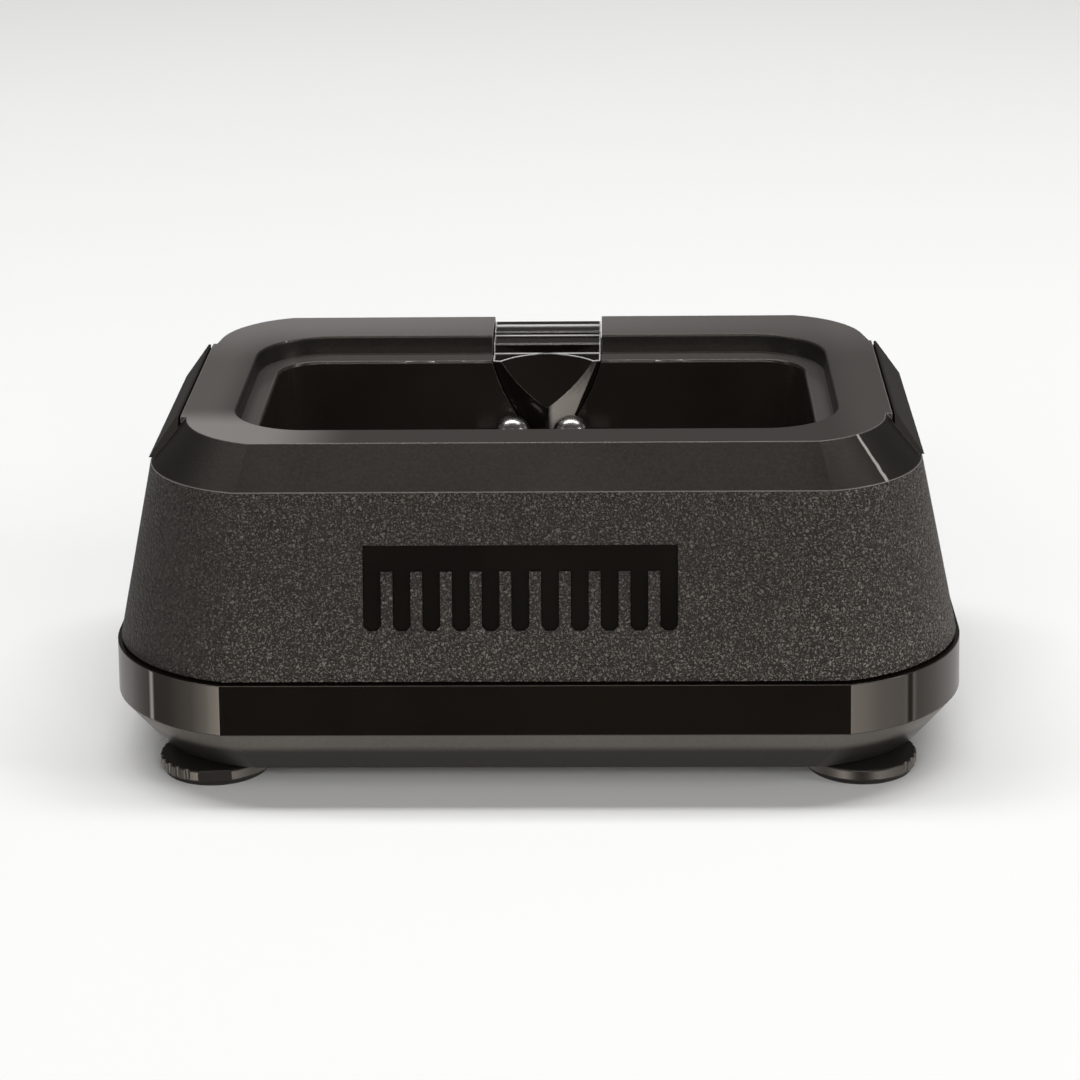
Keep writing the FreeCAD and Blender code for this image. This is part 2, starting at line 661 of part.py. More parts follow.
body = new_body("cradle_well")
s0 = new_sketch(body, "tub_low", offset=pocket_floor - tub_wall)
t0 = tub_wall - pocket_draft
round_rect(s0, -(pocket_a + t0), pocket_a + t0, -(pocket_front + t0), pocket_back + t0, pocket_r + 1.4)
s1 = new_sketch(body, "tub_high", offset=ledge_z - flange_t / 2)
round_rect(s1, -(pocket_a + tub_wall), pocket_a + tub_wall, -(pocket_front + tub_wall), pocket_back + tub_wall, pocket_r + tub_wall)
loft(body, "tub_outer", [s0, s1])
s2 = new_sketch(body, "flange_plan", offset=ledge_z - flange_t)
round_rect(s2, -flange_a, flange_a, -flange_front, flange_back, flange_r)
pad(body, "flange_pad", s2, flange_t)
s3 = new_sketch(body, "pocket_low", offset=pocket_floor)
round_rect(s3, -(pocket_a - pocket_draft), pocket_a - pocket_draft, -(pocket_front - pocket_draft), pocket_back - pocket_draft, pocket_r - 0.5)
s4 = new_sketch(body, "pocket_high", offset=ledge_z)
round_rect(s4, -pocket_a, pocket_a, -pocket_front, pocket_back, pocket_r)
loft(body, "pocket_inner", [s3, s4], cut=True)
tip = body.Tip
tip = fillet(body, "pocket_floor_edge", tip, edges_where(tip.Shape, lambda e: at_z(e, pocket_floor.value)), 1.2)
tip = fillet(body, "pocket_mouth_edge", tip, edges_where(tip.Shape, lambda e: at_z(e, ledge_z.value) and abs(e.BoundBox.Center.x) < 35.5
       and -21.05 < e.BoundBox.YMin and e.BoundBox.YMax < 16.2), 0.35)
s5 = new_sketch(body, "tongue_notch", role="XZ_Plane", offset=-(flange_back + 1))
polygon(s5, guide_outline(notch_gap, ledge_z + 1))
pocket(body, "tongue_notch_cut", s5, flange_back + 1 - pocket_back + 1.2, reverse=True)
s9 = new_sketch(body, "saddle_slot", role="XZ_Plane", offset=-(flange_back + 1))
round_rect(s9, guide_x - guide_w / 2 - notch_gap, guide_x + guide_w / 2 + notch_gap, 39.1, ledge_z + 1, 0.1)
pocket(body, "saddle_slot_cut", s9, flange_back + 1 - well_back + 0.3, reverse=True)
s6 = new_sketch(body, "boss_holes", offset=ledge_z)
circles(s6, [(x, y, 3.1) for x, y in POSTS])
pocket(body, "boss_holes_cut", s6, flange_t + 0.5)
s7 = new_sketch(body, "flange_holes", offset=ledge_z)
circles(s7, [(x, y, 1.15) for x, y in FLANGE_SCREWS])
pocket(body, "flange_holes_cut", s7, flange_t + 0.5)
s8 = new_sketch(body, "terminal_holes", offset=pocket_floor)
circles(s8, [(-contact_x, contact_y, 1.1), (contact_x, contact_y, 1.1)])
pocket(body, "terminal_holes_cut", s8, tub_wall + 1)

# ---------------------------------------------------------------- rear guide
# Saddle over the rear rim with a scooped, keel-shaped tongue in the pocket.
body = new_body("rear_guide")
s0 = new_sketch(body, "tongue_plan", role="XZ_Plane", offset=-21.0)
polygon(s0, guide_outline(0, ledge_z))
pad(body, "tongue_pad", s0, 21.0 - guide_tip_y)
# the tongue narrows to a vertical ridge: two slanting flanks
ROOT_Y = pocket_back - 0.05
for side, sg in (("left", -1), ("right", 1)):
    lo = new_sketch(body, "flank_low_" + side, offset=GUIDE_V[-1][0] - 1.0)
    polygon(lo, [(guide_x + sg * 0.15, guide_tip_y - 0.02), (guide_x + sg * 12, guide_tip_y - 0.02),
                 (guide_x + sg * 12, ROOT_Y), (guide_x + sg * 2.6, ROOT_Y)])
    hi = new_sketch(body, "flank_high_" + side, offset=ledge_z + 1.0)
    polygon(hi, [(guide_x + sg * 0.15, guide_tip_y - 0.02), (guide_x + sg * 12, guide_tip_y - 0.02),
                 (guide_x + sg * 12, ROOT_Y), (guide_x + sg * 7.3, ROOT_Y)])
    loft(body, "flank_cut_" + side, [lo, hi], cut=True)
# concave chute at 46.5 degrees, from the saddle's foot down to the ridge
SCOOP_TILT = 46.5
SCOOP_R = 8.8
dy, dz = math.cos(math.radians(SCOOP_TILT)), math.sin(math.radians(SCOOP_TILT))
ax_y = 14.0 - SCOOP_R * dz + 20 * dy
ax_z = 34.8 + SCOOP_R * dy + 20 * dz
s1 = new_sketch(body, "scoop", role="XZ_Plane", tilt=SCOOP_TILT, base=(0, ax_z, -ax_y))
circles(s1, [(guide_x, 0, SCOOP_R)])
pocket(body, "scoop_cut", s1, 45, reverse=True)
s2 = new_sketch(body, "saddle_profile", role="YZ_Plane", offset=guide_x - guide_w / 2)
polygon(s2, [(well_back - 0.15, 39.3), (32.3, 39.3), (29.0, 42.3), (28.2, 42.95), (26.4, 42.95),
             (26.4, 42.75), (23.6, 42.75), (23.6, 42.15), (well_back - 0.15, 42.15)])
pad(body, "saddle_pad", s2, guide_w)
tip = body.Tip
fillet(body, "saddle_edges", tip, edges_where(tip.Shape, lambda e: e.BoundBox.XLength > 14.5 and e.BoundBox.ZLength < 0.01
       and any(abs(e.BoundBox.Center.y - y) < 0.02 and abs(e.BoundBox.Center.z - z) < 0.02
               for y, z in ((well_back.value - 0.15, 42.15), (23.6, 42.75), (28.2, 42.95)))), 0.18)

# ----------------------------------------------------------- contact carrier
body = new_body("contact_carrier")
s0 = new_sketch(body, "carrier_plan", offset=pocket_floor + 0.05)
round_rect(s0, -9.4, 9.4, contact_y - 4.4, 15.5, 1.6)
pad(body, "carrier_pad", s0, carrier_top - pocket_floor - 0.05)
tip = body.Tip
fillet(body, "carrier_edge", tip, edges_where(tip.Shape, lambda e: at_z(e, carrier_top.value)), 0.5)
# heel relief over the round at the foot of the pocket's rear wall
s3 = new_sketch(body, "heel_relief", offset=pocket_floor + 0.05)
round_rect(s3, -11, 11, 14.4, 17.0, 0.3)
pocket(body, "heel_relief_cut", s3, 1.35, reverse=True)
s1 = new_sketch(body, "pin_bores", offset=carrier_top)
circles(s1, [(-contact_x, contact_y, contact_r + contact_gap), (contact_x, contact_y, contact_r + contact_gap)])
pocket(body, "pin_bores_cut", s1, 12)
s2 = new_sketch(body, "collar_bores", offset=carrier_top - carrier_plate)
circles(s2, [(-contact_x, contact_y, collar_r + 0.1), (contact_x, contact_y, collar_r + 0.1)])
pocket(body, "collar_bores_cut", s2, 12)

# ---------------------------------------- sprung contacts, springs, terminals
for side, sg in (("left", -1), ("right", 1)):
    body = new_body("contact_pin_" + side)
    s0 = new_sketch(body, "collar", offset=collar_z)
    circles(s0, [(0, 0, collar_r)])
    pad(body, "collar_pad", s0, carrier_top - carrier_plate - 0.05 - collar_z)
    s1 = new_sketch(body, "stem", offset=collar_z)
    circles(s1, [(0, 0, contact_r)])
    pad(body, "stem_pad", s1, contact_top - collar_z)
    tip = body.Tip
    fillet(body, "dome", tip, edges_where(tip.Shape, lambda e: at_z(e, contact_top.value)), contact_r - 0.03)
    place(body, sg * contact_x, contact_y)

    # open coil spring between the terminal and the pin's collar
    n_low = pocket_floor.value + 0.05 + 0.55 + spring_wire.value + 0.02
    n_high = collar_z.value - spring_wire.value - 0.02
    helix = Part.makeHelix(spring_pitch.value, n_high - n_low, spring_r.value)
    # eight flats around the wire, of the same area as the round wire, square
    # to the helix
    climb = math.atan(spring_pitch.value / (2 * math.pi * spring_r.value))
    flat_r = spring_wire.value * math.sqrt(math.pi / (4 * math.sin(math.pi / 4)))
    ring = []
    for i in range(8):
        a = math.pi * (i + 0.5) / 4
        ring.append(V(spring_r.value + flat_r * math.cos(a), -flat_r * math.sin(a) * math.sin(climb), flat_r * math.sin(a) * math.cos(climb)))
    ring = Part.makePolygon(ring + [ring[0]])
    coil = Part.Wire(helix.Edges).makePipeShell([ring], True, True)
    spring = doc.addObject("Part::Feature", "contact_spring_" + side)
    spring.Shape = coil if coil.ShapeType == "Solid" else Part.Solid(coil)
    spring.Placement = PLC(V(sg * contact_x.value, contact_y.value, n_low), ROT())
    keep(spring, "contact_spring_" + side)

    body = new_body("contact_terminal_" + side)
    s0 = new_sketch(body, "disc", offset=pocket_floor + 0.05)
    circles(s0, [(0, 0, 2.6)])
    pad(body, "disc_pad", s0, 0.55)
    s1 = new_sketch(body, "leg", offset=board_z + board_t)
    circles(s1, [(0, 0, 0.8)])
    pad(body, "leg_pad", s1, pocket_floor + 0.3 - board_z - board_t)
    place(body, sg * contact_x, contact_y)

# -------------------------------------------------------------- charge board
body = new_body("charge_board")
s0 = new_sketch(body, "board_plan", offset=board_z)
round_rect(s0, -board_a, board_a, -board_front, board_back, 1.5)
pad(body, "board_pad", s0, board_t)
s1 = new_sketch(body, "board_holes", offset=board_z)
circles(s1, [(x, y, 1.1) for x, y in BOARD_POSTS])
pocket(body, "board_holes_cut", s1, board_t + 0.5, reverse=True)

body = new_body("board_chip")
s0 = new_sketch(body, "chip_plan", offset=board_z + board_t)
round_rect(s0, -15, -8, 2, 7, 0.3)
pad(body, "chip_pad", s0, 1.5)

body = new_body("board_choke")
s0 = new_sketch(body, "choke_plan", offset=board_z + board_t)
round_rect(s0, 8, 15, -9, -2, 1.6)
pad(body, "choke_pad", s0, 3.2)

cap = doc.addObject("Part::Cylinder", "cap_can")
cap.setExpression("Radius", "3.2")
cap.setExpression("Height", "8.5")
cap.Placement = PLC(V(15.0, 26.5, (board_z + board_t).value), ROT())
vent = doc.addObject("Part::Box", "cap_vent")
vent.Length, vent.Width, vent.Height = 3.6, 0.4, 0.4
vent.Placement = PLC(V(13.2, 26.3, (board_z + board_t).value + 8.3), ROT())
capcut = doc.addObject("Part::Cut", "board_capacitor")
capcut.Base = cap
capcut.Tool = vent
keep(capcut, "board_capacitor")

# --------------------------------------------------------------- power inlet
body = new_body("power_inlet")
s0 = new_sketch(body, "inlet_plan", offset=board_z + board_t)
round_rect(s0, -4.6, 4.6, jack_back, 33.8, 0.6)
pad(body, "inlet_pad", s0, jack_z + jack_r - board_z - board_t)
s1 = new_sketch(body, "inlet_collar", role="XZ_Plane", offset=-jack_face)
circles(s1, [(0, jack_z, jack_r)])
pad(body, "inlet_collar_pad", s1, jack_face - 33.0)
s2 = new_sketch(body, "inlet_bore", role="XZ_Plane", offset=-jack_face)
circles(s2, [(0, jack_z, jack_bore)])
pocket(body, "inlet_bore_cut", s2, 10.0, reverse=True)
s3 = new_sketch(body, "inlet_pin", role="XZ_Plane", offset=-(jack_face - 0.6))
circles(s3, [(0, jack_z, jack_pin)])
pad(body, "inlet_pin_pad", s3, 9.6)

# ------------------------------------------------------------- ballast plate
body = new_body("ballast_plate")
s0 = new_sketch(body, "ballast_plan", offset=z_belly + floor_t)
round_rect(s0, -19, 19, -24, 24, 3)
pad(body, "ballast_pad", s0, 4.0)
s1 = new_sketch(body, "ballast_holes", offset=z_belly + floor_t)
circles(s1, [(0, y, 1.55) for y in BALLAST_Y])
pocket(body, "ballast_holes_cut", s1, 5, reverse=True)


# -------------------------------------------------------------------- screws
def screw(name, x, y, z_head, head_r, head_t, shank_r, length, up=True):
    """Pan-head screw with a cross recess.  up: the shank points up and the
    head's lowest face is at z_head; otherwise the shank points down and the
    head's top face is at z_head."""
    head = doc.addObject("Part::Cylinder", name + "_head")
    shank = doc.addObject("Part::Cylinder", name + "_shank")
    for o, r, t in ((head, head_r, head_t), (shank, shank_r, as_dim(length) + head_t)):
        o.Radius = as_dim(r).value
        o.Height = as_dim(t).value
        o.setExpression("Radius", as_dim(r).text)
        o.setExpression("Height", as_dim(t).text)
    body_ = doc.addObject("Part::Fuse", name + "_blank")
    body_.Base, body_.Tool = head, shank
    bars = []
    for k, (lx, ly) in enumerate(((1.1, 0.3), (0.3, 1.1))):
        bar = doc.addObject("Part::Box", name + "_slot%d" % k)
        s = as_dim(head_r).value
        bar.Length, bar.Width, bar.Height = lx * s, ly * s, 0.55
        bar.Placement = PLC(V(-lx * s / 2, -ly * s / 2, -0.05), ROT())
        bars.append(bar)
    cross = doc.addObject("Part::MultiFuse", name + "_cross")
    cross.Shapes = bars
    cut = doc.addObject("Part::Cut", name)
    cut.Base, cut.Tool = body_, cross
    zz = as_dim(z_head)
    dx, dy_ = as_dim(x), as_dim(y)
    cut.Placement = PLC(V(dx.value, dy_.value, zz.value), ROT() if up else ROT(V(1, 0, 0), 180))
    cut.setExpression("Placement.Base.x", dx.text)
    cut.setExpression("Placement.Base.y", dy_.text)
    cut.setExpression("Placement.Base.z", zz.text)
    return keep(cut, name)


corner = ("front_left", "front_right", "back_right", "back_left")
for tag, (x, y) in zip(corner, POSTS):
    screw("tie_screw_" + tag, x, y, z_belly + 6.1, 2.6, 2.2, 1.15, 15.5)
for tag, (x, y) in zip(corner, BOARD_POSTS):
    screw("board_screw_" + tag, x, y, board_z + board_t + 1.3, 1.8, 1.3, 0.85, 6.0, up=False)
for tag, (x, y) in zip(corner, FLANGE_SCREWS):
    screw("flange_screw_" + tag, x, y, ledge_z - flange_t - 1.3, 1.9, 1.25, 1.0, flange_t + 1.2)
for tag, y in zip(("front", "back"), BALLAST_Y):
    screw("ballast_screw_" + tag, 0, y, z_belly + 0.5, 2.5, 1.1, 1.5, 4.4)

# ----------------------------------------------------------- levelling feet
# Knurled thumbwheel on a steel stud that turns in a brass insert; a rubber
# sole snaps into the wheel's underside and stays still on the table.
REST_TURN = {"front_left": 95.0, "front_right": -40.0, "back_left": 150.0, "back_right": 20.0}
for tag, x, y in FEET:
    body = new_body("foot_wheel_" + tag)
    s0 = new_sketch(body, "wheel_plan", offset=wheel_low)
    circles(s0, [(0, 0, foot_r)])
    pad(body, "wheel_pad", s0, wheel_top - wheel_low)
    tip = body.Tip
    fillet(body, "wheel_edge", tip, edges_where(tip.Shape, lambda e: at_z(e, wheel_top.value) or at_z(e, wheel_low.value)), 0.25)
    s1 = new_sketch(body, "hub_plan", offset=wheel_top - 0.2)
    circles(s1, [(0, 0, stud_r + 0.34)])
    pad(body, "hub_pad", s1, 1.0)
    s2 = new_sketch(body, "neck_bore", offset=wheel_low)
    circles(s2, [(0, 0, 3.05)])
    pocket(body, "neck_bore_cut", s2, 1.0, reverse=True)
    s3 = new_sketch(body, "snap_bore", offset=wheel_low + 0.4)
    circles(s3, [(0, 0, 3.6)])
    pocket(body, "snap_bore_cut", s3, 0.6, reverse=True)
    s4 = new_sketch(body, "stud_bore", offset=wheel_low)
    circles(s4, [(0, 0, stud_r)])
    pocket(body, "stud_bore_cut", s4, 6, reverse=True)
    s5 = new_sketch(body, "flat", offset=wheel_low - 0.1)
    polygon(s5, [(-foot_r - 1, -3.5), (-foot_r + 0.32, -3.5), (-foot_r + 0.32, 3.5), (-foot_r - 1, 3.5)])
    pocket(body, "flat_cut", s5, 2, reverse=True)
    s6 = new_sketch(body, "rib_gap", offset=wheel_low - 0.1)
    circles(s6, [(foot_r + 0.22, 0, 0.5)])
    gap = pocket(body, "rib_gap_cut", s6, 2, reverse=True)
    pat = body.newObject("PartDesign::PolarPattern", "ribs")
    pat.Originals = [gap]
    pat.Axis = (s6, ["N_Axis"])
    pat.Angle = 150.0
    pat.Occurrences = 13
    body.Tip = pat
    doc.recompute()
    place(body, x, y, 0, REST_TURN[tag])

    stud = doc.addObject("Part::Cylinder", "foot_stud_" + tag)
    stud.setExpression("Radius", stud_r.text)
    stud.setExpression("Height", (stud_top - wheel_low - 1.05).text)
    place(stud, x, y, wheel_low + 1.05)
    keep(stud, "foot_stud_" + tag)

    body = new_body("foot_sole_" + tag)
    for nm, z0, r, t in (("disc", 0.0, 6.6, sole_t), ("neck", 0.2, 3.0, sole_t + 0.3), ("snap", sole_t + 0.5, 3.5, 0.5)):
        s0 = new_sketch(body, nm, offset=z0)
        circles(s0, [(0, 0, r)])
        pad(body, nm + "_pad", s0, t if nm != "neck" else t + 0.1)
    place(body, x, y)

    outer = doc.addObject("Part::Cylinder", "insert_outer_" + tag)
    bore = doc.addObject("Part::Cylinder", "insert_bore_" + tag)
    outer.setExpression("Radius", insert_r.text)
    outer.setExpression("Height", (stud_top - insert_low).text)
    bore.setExpression("Radius", insert_bore.text)
    bore.setExpression("Height", "20")
    bore.Placement = PLC(V(0, 0, -5), ROT())
    ins = doc.addObject("Part::Cut", "foot_insert_" + tag)
    ins.Base, ins.Tool = outer, bore
    place(ins, x, y, insert_low)
    keep(ins, "foot_insert_" + tag)

# ------------------------------------------------------------------- writing
doc.recompute()
for o in doc.Objects:
    if "Invalid" in o.State or "Error" in o.State:
        raise RuntimeError("%s failed: %s" % (o.Name, o.State))
names = [o.Label for o in PARTS]
if len(set(names)) != len(names):
    raise RuntimeError("two sub-parts share a label")
os.makedirs("parts", exist_ok=True)
for o in PARTS:
    sh = o.Shape
    if sh.isNull() or not sh.isValid() or len(sh.Solids) != 1:
        raise RuntimeError("%s: null, invalid or %d solids" % (o.Label, len(sh.Solids)))
for o in PARTS:
    o.Shape.exportStep("parts/%s.step" % o.Label)
    bb = o.Shape.BoundBox
    print("%-28s %9.1f mm3  x %.2f..%.2f  y %.2f..%.2f  z %.2f..%.2f" % (
        o.Label, o.Shape.Volume, bb.XMin, bb.XMax, bb.YMin, bb.YMax, bb.ZMin, bb.ZMax))
print(len(PARTS), "parts")
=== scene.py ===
import json
import math
import bmesh
import bpy
from mathutils import Matrix, Vector, noise

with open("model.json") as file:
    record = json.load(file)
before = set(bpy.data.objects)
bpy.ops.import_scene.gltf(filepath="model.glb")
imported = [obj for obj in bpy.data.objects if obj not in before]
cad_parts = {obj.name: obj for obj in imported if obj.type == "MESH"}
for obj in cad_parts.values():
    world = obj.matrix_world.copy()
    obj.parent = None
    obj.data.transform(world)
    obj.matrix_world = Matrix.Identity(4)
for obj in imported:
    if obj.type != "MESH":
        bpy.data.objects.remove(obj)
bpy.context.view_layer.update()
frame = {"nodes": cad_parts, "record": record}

MM = 0.001
scene = bpy.context.scene
nodes = frame["nodes"]

# ---------------------------------------------------------------- camera
PHI, PSI, RHO = math.radians(19.24), math.radians(1.56), math.radians(-0.73)
target = Vector((-0.00010, 0.0, 0.0204))
dist = 0.4145
back = Vector((math.sin(PSI) * math.cos(PHI), -math.cos(PSI) * math.cos(PHI), math.sin(PHI)))
right = (-back).cross(Vector((0, 0, 1))).normalized()
up = right.cross(-back).normalized()
cr, sr = math.cos(RHO), math.sin(RHO)
cam_x = right * cr + up * sr
cam_y = up * cr - right * sr
cam_data = bpy.data.cameras.new("camera")
cam = bpy.data.objects.new("camera", cam_data)
scene.collection.objects.link(cam)
rot = Matrix((cam_x, cam_y, back)).transposed()
cam.matrix_world = Matrix.Translation(target + back * dist) @ rot.to_4x4()
cam_data.sensor_width = 36.0
cam_data.lens = 3100.8 / 1080.0 * 36.0
cam_data.clip_start, cam_data.clip_end = 0.01, 50.0
scene.camera = cam
scene.view_settings.view_transform = "Standard"
scene.view_settings.look = "None"
scene.view_settings.exposure = 0.0
scene.view_settings.gamma = 1.0


BOARDS_LEFT = ((22, 0.0), (27, 0.9), (31, 1.8), (38, 1.3), (48, 0.55), (60, 0.24), (80, 0.08), (95, 0.05), (97, 0.70), (98.5, 0.70), (100.5, 0.10), (125, 0.14), (150, 0.08))
BOARDS_RIGHT = ((22, 0.0), (27, 0.70), (31, 1.25), (40, 0.72), (58, 0.42), (76, 0.30), (80, 0.34), (81.5, 0.03), (85, 0.03), (86.5, 0.36), (90, 0.16), (120, 0.16), (150, 0.10))

# ------------------------------------------------------------- node helpers
def material(name):
    m = bpy.data.materials.new(name)
    m.use_nodes = True
    nt = m.node_tree
    nt.nodes.clear()
    out = nt.nodes.new("ShaderNodeOutputMaterial")
    sh = nt.nodes.new("ShaderNodeBsdfPrincipled")
    nt.links.new(sh.outputs[0], out.inputs["Surface"])
    return m, nt, sh


def node(nt, kind, **props):
    n = nt.nodes.new(kind)
    for k, v in props.items():
        setattr(n, k, v)
    return n


def put(nt, value, socket):
    """A number, a colour or another socket into a socket."""
    if hasattr(value, "is_linked") or hasattr(value, "links"):
        nt.links.new(value, socket)
    else:
        socket.default_value = value


def coords(nt, scale=(1, 1, 1)):
    tc = node(nt, "ShaderNodeTexCoord")
    mp = node(nt, "ShaderNodeMapping")
    mp.inputs["Scale"].default_value = scale
    nt.links.new(tc.outputs["Object"], mp.inputs["Vector"])
    return mp.outputs[0]


def noise_tex(nt, vec, scale, detail=3.0, rough=0.55, distort=0.0):
    n = node(nt, "ShaderNodeTexNoise")
    put(nt, vec, n.inputs["Vector"])
    n.inputs["Scale"].default_value = scale
    n.inputs["Detail"].default_value = detail
    n.inputs["Roughness"].default_value = rough
    n.inputs["Distortion"].default_value = distort
    return n.outputs["Fac"]


def cells(nt, vec, scale, feature="F1", smooth=0.6, random=1.0, out="Distance"):
    n = node(nt, "ShaderNodeTexVoronoi")
    n.feature = feature
    put(nt, vec, n.inputs["Vector"])
    n.inputs["Scale"].default_value = scale
    n.inputs["Randomness"].default_value = random
    if feature == "SMOOTH_F1":
        n.inputs["Smoothness"].default_value = smooth
    return n.outputs[out]


def math_node(nt, op, a, b=0.0, c=0.0, clamp=False):
    n = node(nt, "ShaderNodeMath")
    n.operation = op
    n.use_clamp = clamp
    put(nt, a, n.inputs[0])
    put(nt, b, n.inputs[1])
    put(nt, c, n.inputs[2])
    return n.outputs[0]


def remap(nt, v, a, b, c, d, smooth=False):
    n = node(nt, "ShaderNodeMapRange")
    n.clamp = True
    n.interpolation_type = "SMOOTHSTEP" if smooth else "LINEAR"
    put(nt, v, n.inputs["Value"])
    for k, x in (("From Min", a), ("From Max", b), ("To Min", c), ("To Max", d)):
        n.inputs[k].default_value = x
    return n.outputs["Result"]


def mix_rgb(nt, fac, a, b):
    n = node(nt, "ShaderNodeMix")
    n.data_type = "RGBA"
    put(nt, fac, n.inputs[0])
    put(nt, a, n.inputs[6])
    put(nt, b, n.inputs[7])
    return n.outputs[2]


def bump(nt, height, strength, distance, normal=None):
    n = node(nt, "ShaderNodeBump")
    n.inputs["Strength"].default_value = strength
    n.inputs["Distance"].default_value = distance
    put(nt, height, n.inputs["Height"])
    if normal is not None:
        nt.links.new(normal, n.inputs["Normal"])
    return n.outputs["Normal"]


def soft_edge(nt, radius=0.12, samples=6):
    """Normal with every hard edge broken over a small radius (mm)."""
    n = node(nt, "ShaderNodeBevel")
    n.samples = samples
    n.inputs["Radius"].default_value = radius * MM
    return n.outputs["Normal"]


def edge_line_mask(nt, normal, near=0.985, far=0.80):
    """Mask for the painted edge lines: where the broken edge's normal leaves the surface's own."""
    g = node(nt, "ShaderNodeNewGeometry")
    d = node(nt, "ShaderNodeVectorMath", operation="DOT_PRODUCT")
    nt.links.new(normal, d.inputs[0])
    nt.links.new(g.outputs["Normal"], d.inputs[1])
    return remap(nt, d.outputs["Value"], near, far, 0.0, 1.0, smooth=True)


def height_z(nt, low, high, a, b):
    """A slow change with height above the table (mm)."""
    tc = node(nt, "ShaderNodeTexCoord")
    sep = node(nt, "ShaderNodeSeparateXYZ")
    nt.links.new(tc.outputs["Object"], sep.inputs[0])
    return remap(nt, sep.outputs[2], low * MM, high * MM, a, b, smooth=True)


def axis_pos(nt, axis, low, high, a, b, absolute=False):
    tc = node(nt, "ShaderNodeTexCoord")
    sep = node(nt, "ShaderNodeSeparateXYZ")
    nt.links.new(tc.outputs["Object"], sep.inputs[0])
    v = sep.outputs[axis]
    if absolute:
        v = math_node(nt, "ABSOLUTE", v)
    return remap(nt, v, low * MM, high * MM, a, b, smooth=True)


# ---------------------------------------------------------------- materials
WARM = (1.0, 0.90, 0.80, 1)


def up_face(nt, low=0.90, high=0.98):
    g = node(nt, "ShaderNodeNewGeometry")
    sep = node(nt, "ShaderNodeSeparateXYZ")
    nt.links.new(g.outputs["True Normal"], sep.inputs[0])
    return remap(nt, sep.outputs[2], low, high, 0.0, 1.0)


def rim_painted_light(nt, col):
    """Painted light and shade: the rim's top is painted paler than the shoulder, a little paler to the back and
    toward the ends, with a painted highlight at the front left; the shoulder is painted darker toward its corners."""
    top = up_face(nt)
    # painted light: the upward faces painted paler than the shoulder
    col = mix_rgb(nt, top, col, (0.034, 0.0312, 0.0288, 1))
    rear = axis_pos(nt, 1, 6.0, 29.0, 0.0, 1.0)
    left = axis_pos(nt, 0, 40.0, -30.0, 0.45, 1.0)
    sides = math_node(nt, "ADD", axis_pos(nt, 0, -36.0, -42.0, 0.0, 0.80), axis_pos(nt, 0, 36.0, 42.0, 0.0, 0.32))
    # painted light: the ends of the rim's top painted paler, the left end more than the right
    col = mix_rgb(nt, math_node(nt, "MULTIPLY", top, sides), col, (0.092, 0.086, 0.082, 1))
    # painted light: the rim's top painted paler toward the back, most to the left
    col = mix_rgb(nt, math_node(nt, "MULTIPLY", top, math_node(nt, "MULTIPLY", rear, left)), col, (0.165, 0.155, 0.152, 1))
    fl = math_node(nt, "MULTIPLY", axis_pos(nt, 0, -22.0, -34.0, 0.0, 1.0), axis_pos(nt, 1, -14.0, -22.0, 0.0, 1.0))
    # painted highlight: a pale patch painted on the rim's top at the front left
    col = mix_rgb(nt, math_node(nt, "MULTIPLY", math_node(nt, "MULTIPLY", top, fl), 0.85), col, (0.235, 0.222, 0.214, 1))
    flank = math_node(nt, "SUBTRACT", 1.0, top)
    end = axis_pos(nt, 0, 30.0, 44.0, 0.0, 0.85, absolute=True)
    # painted shade: the shoulder painted darker toward both ends
    col = mix_rgb(nt, math_node(nt, "MULTIPLY", flank, end), col, (0.0030, 0.0027, 0.0024, 1))
    # painted highlight: one bright line painted down the front right corner of the shoulder, with the shoulder's
    # painted shade beyond
    g = node(nt, "ShaderNodeNewGeometry")
    sep = node(nt, "ShaderNodeSeparateXYZ")
    nt.links.new(g.outputs["Normal"], sep.inputs[0])
    turn = math_node(nt, "ARCTAN2", sep.outputs[0], math_node(nt, "MULTIPLY", sep.outputs[1], -1.0))
    tilted = math_node(nt, "MULTIPLY", remap(nt, sep.outputs[2], 0.40, 0.50, 0.0, 1.0), remap(nt, sep.outputs[2], 0.85, 0.80, 0.0, 1.0))
    line = math_node(nt, "MULTIPLY", remap(nt, turn, 0.705, 0.715, 0.0, 1.0), remap(nt, turn, 0.735, 0.745, 1.0, 0.0))
    col = mix_rgb(nt, math_node(nt, "MULTIPLY", math_node(nt, "MULTIPLY", line, tilted), 0.9), col, (0.34, 0.32, 0.30, 1))
    return col


def ledge_painted_light(nt, col):
    """Painted light: the tub's flange top is painted paler than the pocket below it."""
    top = math_node(nt, "MULTIPLY", up_face(nt), height_z(nt, 40.0, 40.5, 0.0, 1.0))
    return mix_rgb(nt, math_node(nt, "MULTIPLY", top, 0.8), col, (0.075, 0.070, 0.066, 1))


